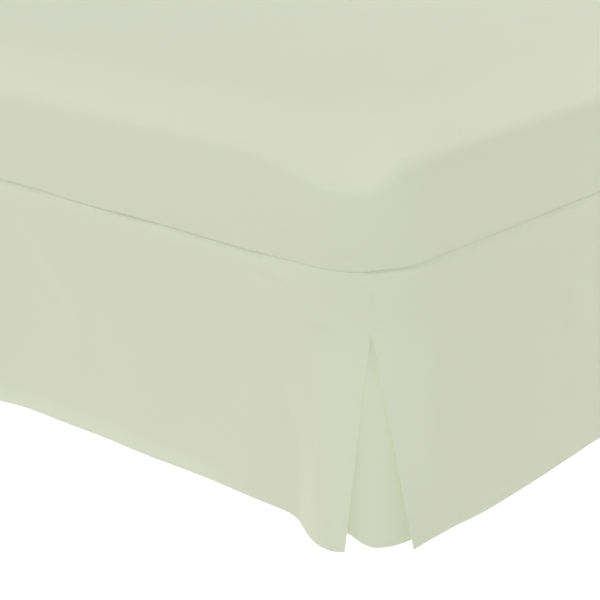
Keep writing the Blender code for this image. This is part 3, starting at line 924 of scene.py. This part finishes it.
def draw_to(point, outward, height, sewn):
    """Moves a point of the wall to a line, and into the seam's groove where the two are near."""
    (toward_x, toward_y), inset = edge_frame(point.co.x, point.co.y)
    point.co.x += toward_x * inset
    point.co.y += toward_y * inset
    width, depth, rise = seam_shape(point.co.x, point.co.y + BED_MIDDLE_Y)
    sewn_in = min(depth, 1.0) * math.exp(-max(height, 0.0) / (GROOVE * width))
    out = mix(outward, sewn, sewn_in)
    point.co.x += toward_x * out
    point.co.y += toward_y * out
    sunk = droop(point.co.x, point.co.y) * min(1.0, max(0.0, height) / EDGE_HEIGHT) ** 2
    reach = SEAM_RISE_REACH if height > 0 else TUCK_RISE_REACH
    point.co.z = height - sunk + rise * math.exp(-abs(height) / reach)


def sheet_object(material):
    """The fitted sheet: a fine grid over the top, drawn down into the walls to the seam."""
    surface = top_grid()
    rim = [edge for edge in surface.edges if edge.is_boundary]
    for section in wall_sections():
        made = bmesh.ops.extrude_edge_only(surface, edges=rim)["geom"]
        rim = [item for item in made if isinstance(item, bmesh.types.BMEdge)]
        for point in [item for item in made if isinstance(item, bmesh.types.BMVert)]:
            draw_to(point, *section)
    bmesh.ops.recalc_face_normals(surface, faces=surface.faces)
    for point in surface.verts:
        point.co.y += BED_MIDDLE_Y
        point.co.z += SEAM_HEIGHT
    mesh = bpy.data.meshes.new("fitted_sheet_cloth")
    surface.to_mesh(mesh)
    surface.free()
    unwrap_sheet(mesh)
    # Painted light and shade, stored on the sheet for its cloth's colour.
    set_painted_shading(mesh, [sheet_painted_shading(*vertex.co) for vertex in mesh.vertices])
    mesh.materials.append(material)
    piece = bpy.data.objects.new("fitted_sheet_cloth", mesh)
    bpy.context.scene.collection.objects.link(piece)
    thicken(piece, CLOTH)
    return piece


def sheet_painted_shading(x, y, z):
    """Painted shade: darker at the seam, and a touch darker at the top's edge and in its middle."""
    inset = edge_frame(x, y - BED_MIDDLE_Y)[1]
    middle = smooth_step((inset - MIDDLE_START) / MIDDLE_FADE)
    undrooped = z - SEAM_HEIGHT + droop(x, y - BED_MIDDLE_Y)
    above_wall = smooth_step((undrooped - EDGE_SHADE_HEIGHT) / EDGE_SHADE_RISE)
    edge = above_wall * math.exp(-(((inset - EDGE_SHADE_INSET) / EDGE_SHADE_WIDTH) ** 2))
    return seam_shade(x, y, z - SEAM_HEIGHT) - MIDDLE_SHADE * middle - EDGE_SHADE * edge


def unwrap_sheet(mesh):
    """Lays the top flat and turns the walls out from it, so that the weave follows the cloth."""
    layer = mesh.uv_layers.new(name="cloth")
    place = []
    for vertex in mesh.vertices:
        x, y, z = vertex.co.x, vertex.co.y - BED_MIDDLE_Y, vertex.co.z - SEAM_HEIGHT
        (toward_x, toward_y), inset = edge_frame(x, y)
        below = max(0.0, EDGE_HEIGHT - z) if inset < EDGE_INSET else 0.0
        place.append((x + toward_x * below, y + toward_y * below))
    for loop, corner in zip(mesh.loops, layer.data):
        corner.uv = place[loop.vertex_index]


def node(tree, kind, **settings):
    """A node with its inputs or its own settings given by name."""
    made = tree.nodes.new(kind)
    for name, value in settings.items():
        if name in made.inputs:
            made.inputs[name].default_value = value
        else:
            setattr(made, name, value)
    return made


def maths(tree, operation, *values):
    """The output of a step of arithmetic on numbers or on other nodes' outputs."""
    made = tree.nodes.new("ShaderNodeMath")
    made.operation = operation
    for socket, value in zip(made.inputs, values):
        if isinstance(value, (int, float)):
            socket.default_value = value
        else:
            tree.links.new(value, socket)
    return made.outputs[0]


def surface_material(name, settings):
    """A material with settings of its surface by name, its node tree and its surface node."""
    made = bpy.data.materials.new(name)
    made.use_nodes = True
    shader = made.node_tree.nodes["Principled BSDF"]
    for label, value in settings.items():
        shader.inputs[label].default_value = value
    return made, made.node_tree, shader


def noise(tree, vector, **settings):
    """A noise between 0 and 1 at a place."""
    made = node(tree, "ShaderNodeTexNoise", **settings)
    tree.links.new(vector, made.inputs["Vector"])
    return made.outputs["Fac"]


def about_one(tree, value, spread):
    """Turns a noise from 0 to 1 into a factor round 1."""
    return maths(tree, "MULTIPLY_ADD", value, spread, 1.0 - spread / 2)


def weave(tree, *threads):
    """The height of a plain weave, from the place across each of its two sets of threads."""
    warp, weft = [
        maths(tree, "SINE", maths(tree, "MULTIPLY", place, 2 * math.pi / pitch)) for place, pitch in threads
    ]
    return maths(tree, "MULTIPLY", warp, weft)


def tint(tree, shader, colour, shade):
    """Colours a surface, lighter and darker by a shade."""
    made = node(tree, "ShaderNodeMix", data_type="RGBA", blend_type="MULTIPLY")
    made.inputs["Factor"].default_value = 1.0
    made.inputs["A"].default_value = (*colour, 1.0)
    tree.links.new(shade, made.inputs["B"])
    tree.links.new(made.outputs["Result"], shader.inputs["Base Color"])


def emboss(tree, shader, height, strength, distance):
    """Gives a surface its fine relief."""
    bump = node(tree, "ShaderNodeBump", Strength=strength, Distance=distance)
    tree.links.new(height, bump.inputs["Height"])
    tree.links.new(bump.outputs[0], shader.inputs["Normal"])


def cotton(name, colour):
    """Smooth plain-woven cotton: a fine weave, thicker threads here and there, and faint mottling."""
    made, tree, shader = surface_material(name, {
        "Roughness": 0.85,
        "Diffuse Roughness": 0.8,
        "Specular IOR Level": 0.25,
        "Sheen Weight": 0.12,
        "Sheen Roughness": 0.5,
    })
    cloth = node(tree, "ShaderNodeUVMap", uv_map="cloth").outputs[0]
    place = node(tree, "ShaderNodeTexCoord").outputs["Object"]
    split = tree.nodes.new("ShaderNodeSeparateXYZ")
    tree.links.new(cloth, split.inputs[0])
    threads = weave(tree, (split.outputs[0], WARP_PITCH), (split.outputs[1], WEFT_PITCH))
    stretched = tree.nodes.new("ShaderNodeMapping")
    stretched.inputs["Scale"].default_value = THREAD_STRETCH
    tree.links.new(cloth, stretched.inputs["Vector"])
    slub = noise(tree, stretched.outputs[0], Scale=1.0, Detail=2.0)
    mottle = noise(tree, place, Scale=9.0, Detail=3.0, Roughness=0.55)
    shade = maths(
        tree,
        "MULTIPLY",
        about_one(tree, mottle, COTTON_MOTTLING),
        about_one(tree, slub, THREAD_MOTTLING),
    )
    # The painted light and shade stored on each piece makes the cloth's colour lighter or darker.
    painted_shading_value = node(tree, "ShaderNodeAttribute", attribute_name="painted_shading").outputs["Fac"]
    tint(tree, shader, colour, maths(tree, "MULTIPLY", shade, maths(tree, "ADD", painted_shading_value, 1.0)))
    height = maths(tree, "ADD", maths(tree, "MULTIPLY", threads, WEAVE_SHARE), slub)
    emboss(tree, shader, height, strength=0.25, distance=0.00012)
    return made


def plain_weave(name, colour, pitch):
    """A plain woven cover in object space, for what the cloth hides."""
    made, tree, shader = surface_material(name, {"Roughness": 0.9, "Specular IOR Level": 0.2})
    place = node(tree, "ShaderNodeTexCoord").outputs["Object"]
    split = tree.nodes.new("ShaderNodeSeparateXYZ")
    tree.links.new(place, split.inputs[0])
    flat = maths(tree, "ADD", split.outputs[0], split.outputs[1])
    mottle = noise(tree, place, Scale=60.0, Detail=4.0)
    tint(tree, shader, colour, about_one(tree, mottle, COVER_MOTTLING))
    threads = weave(tree, (flat, pitch), (split.outputs[2], pitch))
    emboss(tree, shader, threads, strength=0.4, distance=0.0004)
    return made


def moulded_plastic(name, colour):
    """Dark plastic with a fine grain, for the base's feet."""
    made, tree, shader = surface_material(name, {"Base Color": (*colour, 1.0), "Roughness": 0.45})
    grain = node(tree, "ShaderNodeTexNoise", Scale=900.0, Detail=2.0).outputs["Fac"]
    emboss(tree, shader, grain, strength=0.15, distance=0.0002)
    return made


def dress(name, material):
    """Gives a CAD node that stays its material."""
    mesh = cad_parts[name].data
    mesh.materials.clear()
    mesh.materials.append(material)


def add_cloth():
    """All pieces of cloth, each on its own solid's place."""
    sage = cotton("sage cotton", SAGE)
    foot_length = Curve(FOOT_HEM).length
    side_length = Curve(SIDE_HEM).length
    insert_length = 2 * INSERT_HALF_WIDTH
    sheet = sheet_object(sage)
    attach(sheet, "root")
    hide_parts("fitted_sheet")
    foot = panel("foot_panel_cloth", foot_surface, foot_length, 1, FOOT_CREASES, sage, FOOT_HEM_LOOK)
    hang_on(foot, "skirt_foot_panel")
    for side, name, table, creases in (
        (1, "right", RIGHT_WAVES, RIGHT_CREASES),
        (-1, "left", LEFT_WAVES, LEFT_CREASES),
    ):
        hung = side_surface(side, table)
        skirt = panel(f"{name}_panel_cloth", hung, side_length, -side, creases, sage, SIDE_HEM_LOOK)
        hang_on(skirt, f"skirt_{name}_panel")
        tucked = insert_surface(side)
        insert = panel(f"insert_{name}_cloth", tucked, insert_length, -side, (), sage, INSERT_HEM_LOOK)
        hang_on(insert, f"pleat_insert_{name}")


def hang_on(piece, node_name):
    """Hangs a piece of cloth on the root body, and hides the solid that it replaces."""
    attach(piece, "root")
    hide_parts(node_name)


def add_floor():
    """A plain pale floor, about as bright as the photograph's background."""
    mesh = bpy.data.meshes.new("floor")
    corners = [(-1, -1), (1, -1), (1, 1), (-1, 1)]
    points = [(x * FLOOR_HALF, y * FLOOR_HALF, -FLOOR_DROP) for x, y in corners]
    mesh.from_pydata(points, [], [(0, 1, 2, 3)])
    floor = bpy.data.objects.new("floor", mesh)
    bpy.context.scene.collection.objects.link(floor)
    made = surface_material("pale floor", {
        "Base Color": (FLOOR_GREY, FLOOR_GREY, FLOOR_GREY, 1.0),
        "Roughness": 1.0,
        "Specular IOR Level": 0.0,
        "Emission Color": (1.0, 1.0, 1.0, 1.0),
        "Emission Strength": FLOOR_GLOW,
    })[0]
    mesh.materials.append(made)
    floor.visible_diffuse = False


def add_fill(name, azimuth, elevation, strength, colour):
    """A soft light from afar, which casts no shadow."""
    sun = bpy.data.lights.new(name, "SUN")
    sun.energy = strength * math.pi
    sun.color = colour
    sun.angle = math.radians(FILL_SPREAD)
    sun.use_shadow = False
    sun.cycles.use_multiple_importance_sampling = False
    made = bpy.data.objects.new(name, sun)
    bpy.context.scene.collection.objects.link(made)
    turn = math.radians(azimuth)
    lean = math.radians(elevation)
    flat = math.cos(lean)
    toward_light = Vector((math.cos(turn) * flat, math.sin(turn) * flat, math.sin(lean)))
    made.rotation_mode = "QUATERNION"
    made.rotation_quaternion = toward_light.to_track_quat("Z", "Y")


def add_light():
    """An even white room with a few soft fills, as for a catalogue picture without shadows."""
    world = bpy.data.worlds.new("studio")
    bpy.context.scene.world = world
    world.use_nodes = True
    background = world.node_tree.nodes["Background"]
    background.inputs["Color"].default_value = (1.0, 1.0, 1.0, 1.0)
    background.inputs["Strength"].default_value = ROOM_LIGHT
    for number, fill in enumerate(FILLS, 1):
        add_fill(f"fill {number}", *fill)


def add_camera():
    """The camera of the photograph, fitted to the bed's seam and hems."""
    data = bpy.data.cameras.new("camera")
    data.lens = LENS
    data.sensor_width = SENSOR
    camera = bpy.data.objects.new("camera", data)
    bpy.context.scene.collection.objects.link(camera)
    back = Vector(CAMERA_BACK).normalized()
    right = Vector((0.0, 0.0, 1.0)).cross(back).normalized()
    up = back.cross(right)
    turn = Matrix((right, up, back)).transposed().to_4x4()
    beside, before, above = CAMERA_PLACE
    turn.translation = Vector((SIDE_X + beside, FOOT_Y - before, above))
    camera.matrix_world = turn
    bpy.context.scene.camera = camera


add_cloth()
dress("mattress", plain_weave("mattress ticking", TICKING, TICKING_PITCH))
dress("bed_base", plain_weave("base upholstery", UPHOLSTERY, UPHOLSTERY_PITCH))
plastic = moulded_plastic("foot plastic", DARK_PLASTIC)
for number in range(1, BASE_FEET + 1):
    dress(f"base_foot_{number}", plastic)
add_floor()
add_light()
add_camera()
bpy.context.scene.view_settings.view_transform = "Standard"
